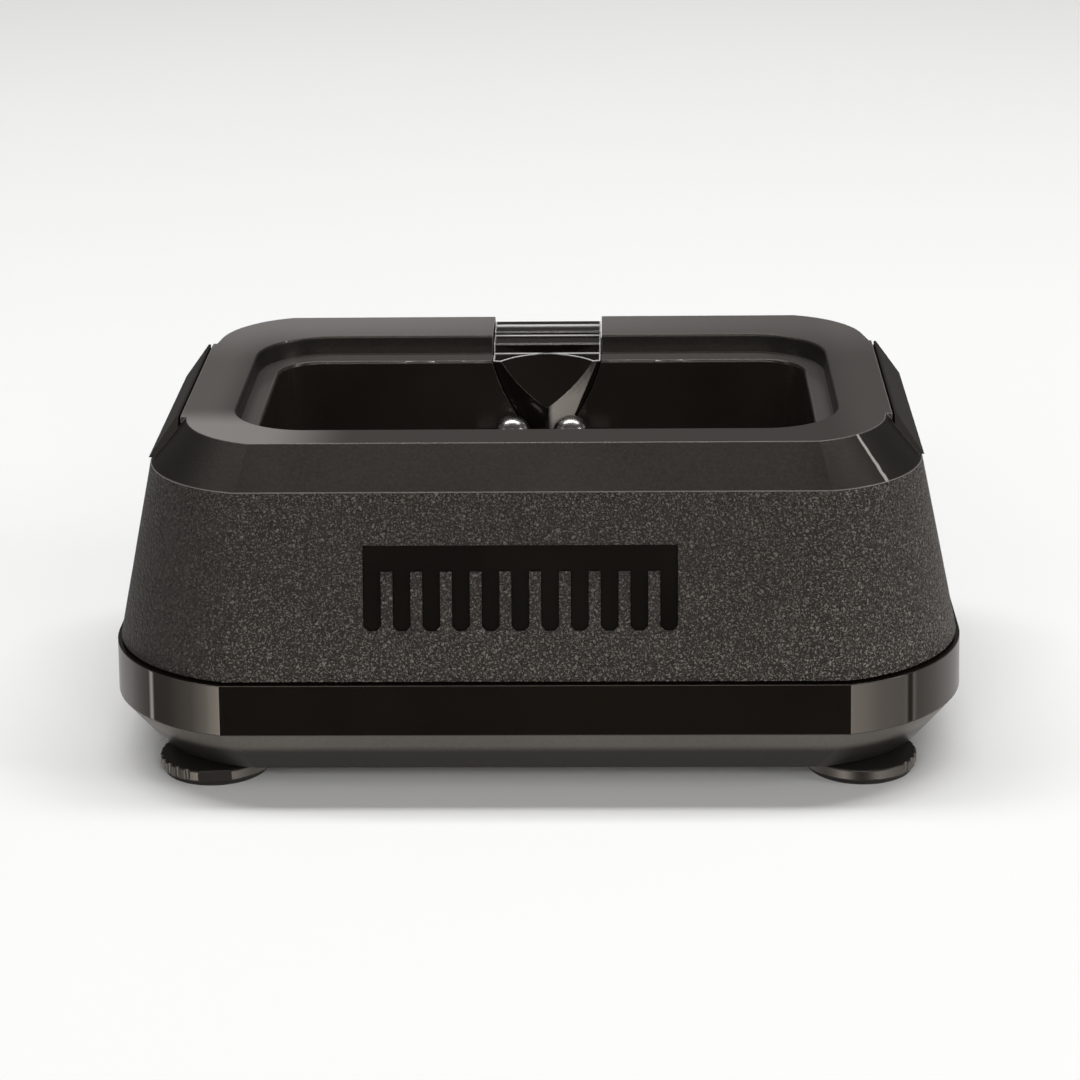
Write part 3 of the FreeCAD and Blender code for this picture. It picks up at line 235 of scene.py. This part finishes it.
def plastic(name, base, tint, rough, rough_var, grain, grain_h, fine=0.0, spec=0.5, coat=0.0,
            coat_rough=0.1, sheen=0.0, edge_painted_light=0.0, edge_painted_light_col=(0.075, 0.070, 0.065, 1), edge=0.12, shade=None,
            blotch=38.0, speck_mix=0.22, edge_span=(0.985, 0.80), painted_light=None):
    m, nt, sh = material(name)
    vec = coords(nt)
    cloud = noise_tex(nt, vec, blotch, 4.0, 0.6)
    speck = noise_tex(nt, vec, grain, 2.0, 0.5)
    col = mix_rgb(nt, remap(nt, cloud, 0.3, 0.7, 0.0, 1.0), (*base, 1), (*tint, 1))
    col = mix_rgb(nt, math_node(nt, "MULTIPLY", remap(nt, speck, 0.35, 0.7, 0.0, 1.0), speck_mix), col,
                  (tint[0] * 1.8, tint[1] * 1.8, tint[2] * 1.8, 1))
    # painted shade and light: the colour scaled with height above the table
    if shade:
        lo, hi, a, b = shade
        k = height_z(nt, lo, hi, a, b)
        dark = mix_rgb(nt, 1.0, col, col)
        sc = node(nt, "ShaderNodeVectorMath", operation="SCALE")
        nt.links.new(dark, sc.inputs[0])
        nt.links.new(k, sc.inputs["Scale"])
        col = sc.outputs[0]
    nrm = soft_edge(nt, edge)
    # painted light and shade laid over the colour, when a painter is given
    if painted_light:
        col = painted_light(nt, col)
    # painted highlight: the edge colour painted along the broken edges (dark on the belly, where it is a painted
    # shade along the creases)
    if edge_painted_light:
        col = mix_rgb(nt, math_node(nt, "MULTIPLY", edge_line_mask(nt, nrm, *edge_span), edge_painted_light), col, edge_painted_light_col)
    nt.links.new(col, sh.inputs["Base Color"])
    r = math_node(nt, "ADD", remap(nt, cloud, 0.25, 0.75, rough - rough_var, rough + rough_var),
                  math_node(nt, "MULTIPLY", speck, rough_var * 0.5))
    nt.links.new(r, sh.inputs["Roughness"])
    h = speck
    if fine:
        h = math_node(nt, "ADD", speck, math_node(nt, "MULTIPLY", noise_tex(nt, vec, fine, 2.0, 0.6), 0.5))
    nt.links.new(bump(nt, h, 0.6, grain_h, nrm), sh.inputs["Normal"])
    sh.inputs["Specular IOR Level"].default_value = spec
    sh.inputs["Coat Weight"].default_value = coat
    sh.inputs["Coat Roughness"].default_value = coat_rough
    sh.inputs["Specular Tint"].default_value = WARM
    sh.inputs["Sheen Weight"].default_value = sheen
    sh.inputs["Sheen Roughness"].default_value = 0.5
    return m


def grained_black():
    """Leather-look moulded grain, about 0.6 mm, over a slow variation."""
    m, nt, sh = material("grained_black")
    vec = coords(nt)
    warp = node(nt, "ShaderNodeTexNoise")
    nt.links.new(vec, warp.inputs["Vector"])
    warp.inputs["Scale"].default_value = 1100.0
    warp.inputs["Detail"].default_value = 2.0
    off = node(nt, "ShaderNodeVectorMath", operation="MULTIPLY_ADD")
    nt.links.new(warp.outputs["Color"], off.inputs[0])
    off.inputs[1].default_value = (0.0007, 0.0007, 0.0007)
    nt.links.new(vec, off.inputs[2])
    v2 = off.outputs[0]
    pebble = cells(nt, v2, 1650.0, "SMOOTH_F1", 0.35)
    crease = cells(nt, v2, 1650.0, "DISTANCE_TO_EDGE")
    fine = noise_tex(nt, vec, 3600.0, 2.0, 0.6)
    cloud = noise_tex(nt, vec, 45.0, 4.0, 0.6)
    grit = noise_tex(nt, v2, 4300.0, 2.0, 0.60)
    dome = remap(nt, pebble, 0.0, 0.75, 1.0, 0.0, smooth=True)
    groove = remap(nt, crease, 0.0, 0.12, 0.0, 1.0, smooth=True)
    h = math_node(nt, "ADD", math_node(nt, "MULTIPLY", dome, 0.75), math_node(nt, "MULTIPLY", groove, 0.35))
    h = math_node(nt, "ADD", h, math_node(nt, "MULTIPLY", fine, 0.35))
    h = math_node(nt, "ADD", h, math_node(nt, "MULTIPLY", grit, 0.9))
    base = mix_rgb(nt, remap(nt, cloud, 0.3, 0.7, 0, 1), (0.0040, 0.0036, 0.0030, 1), (0.0070, 0.0063, 0.0054, 1))
    # painted glints: bright specks painted onto the grain
    painted_glints = remap(nt, grit, 0.49, 0.60, 0.0, 1.0, smooth=True)
    base = mix_rgb(nt, math_node(nt, "MULTIPLY", painted_glints, 0.9), base, (0.190, 0.174, 0.155, 1))
    base = mix_rgb(nt, math_node(nt, "SUBTRACT", 1.0, groove, clamp=True), base, (0.0060, 0.0055, 0.0050, 1))
    # painted light and shade: the face is painted paler low in the middle than at its upper edge, much darker toward
    # its left end and a little paler toward its right end
    k = height_z(nt, 9.0, 33.0, 1.15, 0.72)
    k2 = math_node(nt, "MULTIPLY", axis_pos(nt, 0, -51.0, -33.0, 0.12, 1.0), axis_pos(nt, 0, 26.0, 44.0, 1.0, 1.30))
    sc = node(nt, "ShaderNodeVectorMath", operation="SCALE")
    nt.links.new(base, sc.inputs[0])
    nt.links.new(math_node(nt, "MULTIPLY", k, k2), sc.inputs["Scale"])
    nt.links.new(sc.outputs[0], sh.inputs["Base Color"])
    nt.links.new(math_node(nt, "ADD", remap(nt, cloud, 0.3, 0.7, 0.46, 0.54),
                           math_node(nt, "MULTIPLY", dome, -0.08)), sh.inputs["Roughness"])
    nt.links.new(bump(nt, h, 1.0, 0.00034, soft_edge(nt, 0.12)), sh.inputs["Normal"])
    sh.inputs["Specular IOR Level"].default_value = 0.45
    sh.inputs["Specular Tint"].default_value = WARM
    return m


def gloss(name, base=(0.0055, 0.0042, 0.0031), rough=0.05, spec=0.35, wave=0.000006, edge=0.16,
          edge_painted_light=0.15, edge_painted_light_col=(0.05, 0.048, 0.045, 1), painted_light=None, dust_k=0.04, edge_span=(0.985, 0.80),
          clear=None):
    m, nt, sh = material(name)
    vec = coords(nt)
    cloud = noise_tex(nt, vec, 60.0, 3.0, 0.5)
    dust = noise_tex(nt, vec, 5200.0, 2.0, 0.7)
    col = mix_rgb(nt, remap(nt, cloud, 0.3, 0.7, 0, 1), (*base, 1), tuple(c * 1.5 for c in base) + (1,))
    nrm = soft_edge(nt, edge, 8)
    # painted light and shade laid over the colour, when a painter is given
    if painted_light:
        col = painted_light(nt, col)
    # painted highlight: the edge colour painted along the broken edges
    line = math_node(nt, "MULTIPLY", edge_line_mask(nt, nrm, *edge_span), edge_painted_light)
    if clear:
        # no light line within this stretch of x (mm), where another piece fills the notch
        lo, hi = clear
        line = math_node(nt, "MULTIPLY", line, math_node(nt, "ADD", axis_pos(nt, 0, lo - 0.1, lo, 1.0, 0.0), axis_pos(nt, 0, hi, hi + 0.1, 0.0, 1.0)))
    col = mix_rgb(nt, line, col, edge_painted_light_col)
    nt.links.new(col, sh.inputs["Base Color"])
    r = math_node(nt, "ADD", remap(nt, cloud, 0.3, 0.75, rough * 0.8, rough * 1.3),
                  math_node(nt, "MULTIPLY", remap(nt, dust, 0.55, 0.8, 0, 1), dust_k))
    nt.links.new(r, sh.inputs["Roughness"])
    nt.links.new(bump(nt, cloud, 0.5, wave, nrm), sh.inputs["Normal"])
    sh.inputs["Specular IOR Level"].default_value = spec
    sh.inputs["Specular Tint"].default_value = WARM
    return m


def metal(name, col, rough, var, scale, stretch=(1, 1, 1), height=0.000006, edge=0.08):
    m, nt, sh = material(name)
    vec = coords(nt, stretch)
    n1 = noise_tex(nt, vec, scale, 4.0, 0.6)
    n2 = noise_tex(nt, vec, scale * 6.0, 2.0, 0.6)
    c = mix_rgb(nt, remap(nt, n1, 0.3, 0.7, 0, 1), tuple(x * 0.86 for x in col) + (1,), (*col, 1))
    nt.links.new(c, sh.inputs["Base Color"])
    sh.inputs["Metallic"].default_value = 1.0
    nt.links.new(remap(nt, n2, 0.3, 0.7, max(0.02, rough - var), rough + var), sh.inputs["Roughness"])
    nt.links.new(bump(nt, n2, 0.4, height, soft_edge(nt, edge)), sh.inputs["Normal"])
    return m


def board():
    m, nt, sh = material("board_green")
    vec = coords(nt)
    grid = node(nt, "ShaderNodeTexBrick")
    nt.links.new(vec, grid.inputs["Vector"])
    grid.inputs["Scale"].default_value = 120.0
    grid.inputs["Mortar Size"].default_value = 0.06
    grid.inputs["Color1"].default_value = (0.010, 0.075, 0.028, 1)
    grid.inputs["Color2"].default_value = (0.013, 0.09, 0.033, 1)
    grid.inputs["Mortar"].default_value = (0.03, 0.17, 0.07, 1)
    weave = noise_tex(nt, vec, 1500.0, 2.0, 0.5)
    nt.links.new(mix_rgb(nt, math_node(nt, "MULTIPLY", weave, 0.3), grid.outputs["Color"], (0.02, 0.12, 0.05, 1)), sh.inputs["Base Color"])
    nt.links.new(remap(nt, weave, 0.3, 0.7, 0.22, 0.38), sh.inputs["Roughness"])
    nt.links.new(bump(nt, weave, 0.4, 0.00001), sh.inputs["Normal"])
    return m


def keel_gloss():
    """The guide: gloss black, with painted highlights along the edges of its stepped top, and its right-hand
    flank painted paler than the left (a painted reflection)."""
    m = gloss("gloss_black_guide", (0.0062, 0.0050, 0.0040), 0.10, 0.22, edge=0.30, edge_painted_light=0.0)
    nt = m.node_tree
    sh = next(n for n in nt.nodes if n.type == "BSDF_PRINCIPLED")
    col = sh.inputs["Base Color"].links[0].from_socket
    g = node(nt, "ShaderNodeNewGeometry")
    sep = node(nt, "ShaderNodeSeparateXYZ")
    nt.links.new(g.outputs["True Normal"], sep.inputs[0])
    # painted reflection: the right-hand flank below the saddle painted pale
    flank = math_node(nt, "MULTIPLY", remap(nt, sep.outputs[0], 0.30, 0.42, 0.0, 1.0), axis_pos(nt, 0, 0.8, 1.6, 0.0, 1.0))
    col = mix_rgb(nt, math_node(nt, "MULTIPLY", flank, height_z(nt, 40.75, 40.55, 0.0, 1.0)), col, (0.42, 0.385, 0.345, 1))
    # painted highlight: white lines painted along the edges of the stepped top
    steps = math_node(nt, "MULTIPLY", edge_line_mask(nt, soft_edge(nt, 0.34, 8), 0.997, 0.93), height_z(nt, 40.5, 40.75, 0.0, 1.0))
    nt.links.new(mix_rgb(nt, steps, col, (1.0, 0.99, 0.97, 1)), sh.inputs["Base Color"])
    return m


MAT = {
    "grained_black": grained_black(),
    # satin black: a pale painted highlight along its edges, and painted light and shade on the rim and shoulder
    "satin_black": plastic("satin_black", (0.0120, 0.0108, 0.0094), (0.0170, 0.0153, 0.0135), 0.36, 0.04, 2600.0, 0.000022,
                           fine=6000.0, spec=0.42, edge_painted_light=0.9, edge_painted_light_col=(0.23, 0.213, 0.199, 1), edge=0.24, speck_mix=0.5, edge_span=(0.994, 0.94), painted_light=rim_painted_light),
    # gloss black and its inlay: a pale painted highlight along their edges
    "gloss_black": gloss("gloss_black", edge_painted_light=0.6, edge_painted_light_col=(0.11, 0.103, 0.096, 1)),
    "gloss_inlay": gloss("gloss_inlay", (0.0045, 0.0038, 0.0030), 0.16, 0.22, edge=0.06),
    # belly: painted shade and light, darker toward the table and much paler at its top edge, and a dark painted line
    # along its creases (painted shade)
    "belly_black": plastic("belly_black", (0.030, 0.0272, 0.0240), (0.038, 0.0345, 0.0305), 0.36, 0.05, 2600.0, 0.00001, spec=0.5,
                           shade=(5.4, 6.9, 0.55, 2.8), edge_painted_light=0.75, edge_painted_light_col=(0.010, 0.009, 0.008, 1), edge=0.14, edge_span=(0.9985, 0.985)),
    # matte panel: a pale painted highlight along its edges
    "matte_panel": plastic("matte_panel", (0.0085, 0.0078, 0.0070), (0.013, 0.0118, 0.0105), 0.55, 0.05, 3000.0, 0.00002, fine=8000.0, spec=0.25, edge_painted_light=0.5),
    "contact_chrome": metal("contact_chrome", (0.30, 0.288, 0.275), 0.25, 0.05, 700.0),
    "spring_steel": metal("spring_steel", (0.62, 0.62, 0.63), 0.22, 0.08, 900.0),
    "brass": metal("brass", (0.80, 0.60, 0.28), 0.26, 0.1, 600.0, (1, 1, 12)),
    "carrier_black": plastic("carrier_black", (0.010, 0.0092, 0.0084), (0.016, 0.0148, 0.0135), 0.36, 0.05, 2600.0, 0.00001),
    "board_green": board(),
    "component_black": plastic("component_black", (0.012, 0.012, 0.013), (0.02, 0.02, 0.021), 0.5, 0.08, 2600.0, 0.00002),
    "component_can": metal("component_can", (0.70, 0.70, 0.72), 0.3, 0.1, 500.0, (1, 1, 0.1)),
    "inlet_black": plastic("inlet_black", (0.011, 0.0102, 0.0094), (0.017, 0.0158, 0.0145), 0.38, 0.05, 2600.0, 0.00001),
    "ballast_steel": metal("ballast_steel", (0.55, 0.55, 0.56), 0.36, 0.1, 300.0, (0.1, 1, 1)),
    "screw_steel": metal("screw_steel", (0.62, 0.61, 0.60), 0.24, 0.09, 900.0),
    # wheel: a pale painted highlight along its edges
    "wheel_black": plastic("wheel_black", (0.013, 0.0118, 0.0105), (0.020, 0.0182, 0.0162), 0.36, 0.06, 2400.0, 0.000012, spec=0.5, edge_painted_light=0.3),
    "sole_rubber": plastic("sole_rubber", (0.010, 0.0095, 0.009), (0.018, 0.0172, 0.0165), 0.82, 0.06, 2200.0, 0.00003, fine=6000.0, spec=0.25, sheen=0.15),
}

# the well: white painted highlights along its edges, none where another piece fills the notch; its flange top is
# painted paler (painted light)
MAT["well"] = gloss("gloss_black_well", (0.0135, 0.0112, 0.0092), 0.18, 0.35, edge=0.46, edge_painted_light=1.0,
                    edge_painted_light_col=(1.0, 0.975, 0.95, 1), painted_light=ledge_painted_light, edge_span=(0.995, 0.90), clear=(-7.6, 9.0))
MAT["guide"] = keel_gloss()
BY_NODE = {"cradle_well": "well", "rear_guide": "guide"}
record_slots = {s["node"]: s["material_slot"] for s in frame["record"]["subparts"]}


def finish_cad(name):
    """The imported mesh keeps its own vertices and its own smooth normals; the
    broken edges come from the material."""
    o = nodes[name]
    o.data.materials.clear()
    o.data.materials.append(MAT[BY_NODE.get(name, record_slots[name])])


for n in nodes:
    finish_cad(n)

# ---------------------------------------------------------- floor and light
me = bpy.data.meshes.new("floor")
bm = bmesh.new()
bmesh.ops.create_grid(bm, x_segments=8, y_segments=8, size=3.0)
bm.to_mesh(me)
bm.free()
floor = bpy.data.objects.new("floor", me)
scene.collection.objects.link(floor)
fm, fnt, fsh = material("floor_pale")
fvec = coords(fnt)
fn = noise_tex(fnt, fvec, 3.0, 2.0, 0.5)
fnt.links.new(mix_rgb(fnt, fn, (0.86, 0.86, 0.86, 1), (0.90, 0.90, 0.895, 1)), fsh.inputs["Base Color"])
fsh.inputs["Roughness"].default_value = 0.85
fsh.inputs["Specular IOR Level"].default_value = 0.2
me.materials.append(fm)
floor.visible_glossy = False

world = bpy.data.worlds.new("studio")
scene.world = world
world.use_nodes = True
wn = world.node_tree
wn.nodes.clear()
wo = wn.nodes.new("ShaderNodeOutputWorld")
wb = wn.nodes.new("ShaderNodeBackground")
wtc = wn.nodes.new("ShaderNodeTexCoord")
wsep = wn.nodes.new("ShaderNodeSeparateXYZ")
wn.links.new(wtc.outputs["Generated"], wsep.inputs[0])
ramp = wn.nodes.new("ShaderNodeValToRGB")
wn.links.new(remap(wn, wsep.outputs[2], -1.0, 1.0, 0.0, 1.0), ramp.inputs["Fac"])
els = ramp.color_ramp.elements
els[0].position, els[0].color = 0.0, (0.30, 0.30, 0.30, 1)
els[1].position, els[1].color = 1.0, (0.12, 0.12, 0.12, 1)
for pos, v in ((0.14, 0.22), (0.26, 0.10), (0.40, 0.08), (0.52, 0.10), (0.60, 0.14), (0.68, 0.14), (0.78, 0.14), (0.90, 0.12)):
    e = els.new(pos)
    e.color = (v, v * 0.97, v * 0.945, 1)
# tall pale boards standing low at the left and the right; they show only as
# soft bands in the gloss corners of the base
azim = math_node(wn, "ARCTAN2", wsep.outputs[0], math_node(wn, "MULTIPLY", wsep.outputs[1], -1.0))
turn = remap(wn, math_node(wn, "ABSOLUTE", azim), 0.0, math.pi, 0.0, 1.0)


def board_ramp(stops):
    r = wn.nodes.new("ShaderNodeValToRGB")
    wn.links.new(turn, r.inputs["Fac"])
    e = r.color_ramp.elements
    e[0].position, e[0].color = 0.0, (0, 0, 0, 1)
    e[1].position, e[1].color = 1.0, (0.04, 0.04, 0.04, 1)
    for deg, v in stops:
        k = e.new(deg / 180.0)
        k.color = (v, v, v, 1)
    return r.outputs["Color"]


left_boards = board_ramp(BOARDS_LEFT)
right_boards = board_ramp(BOARDS_RIGHT)
side = math_node(wn, "GREATER_THAN", wsep.outputs[0], 0.0)
both = mix_rgb(wn, side, left_boards, right_boards)
low = remap(wn, wsep.outputs[2], -0.06, -0.16, 0.0, 1.0, smooth=True)
deep = remap(wn, wsep.outputs[2], -0.75, -0.60, 0.0, 1.0, smooth=True)
band = wn.nodes.new("ShaderNodeVectorMath")
band.operation = "SCALE"
wn.links.new(both, band.inputs[0])
wn.links.new(math_node(wn, "MULTIPLY", low, deep), band.inputs["Scale"])
lobe = band.outputs[0]
total = wn.nodes.new("ShaderNodeVectorMath")
total.operation = "MULTIPLY_ADD"
wn.links.new(lobe, total.inputs[0])
total.inputs[1].default_value = (6.0, 5.85, 5.7)
wn.links.new(ramp.outputs["Color"], total.inputs[2])
wn.links.new(total.outputs[0], wb.inputs["Color"])
wb.inputs["Strength"].default_value = 1.0
wn.links.new(wb.outputs[0], wo.inputs["Surface"])


def softbox(name, pos, aim, sx, sy, power, color=(1, 1, 1), spread=180.0):
    ld = bpy.data.lights.new(name, "AREA")
    ld.shape = "RECTANGLE"
    ld.size, ld.size_y = sx, sy
    ld.energy = power
    ld.color = color
    ld.spread = math.radians(spread)
    o = bpy.data.objects.new(name, ld)
    scene.collection.objects.link(o)
    p = Vector(pos)
    o.location = p
    o.rotation_mode = "QUATERNION"
    o.rotation_quaternion = (p - Vector(aim)).to_track_quat("Z", "Y")
    return o


softbox("strip_top", (0.0, 0.22, 1.15), (0, 0, 0.03), 1.5, 0.22, 13.0)
softbox("front_fill", (0.0, -1.5, 0.75), (0, 0, 0.02), 1.6, 0.5, 11.0)
softbox("side_left", (-1.2, -0.45, 0.40), (0, 0, 0.03), 0.25, 0.9, 1.2)
softbox("side_right", (1.2, -0.45, 0.40), (0, 0, 0.03), 0.25, 0.9, 5.0)
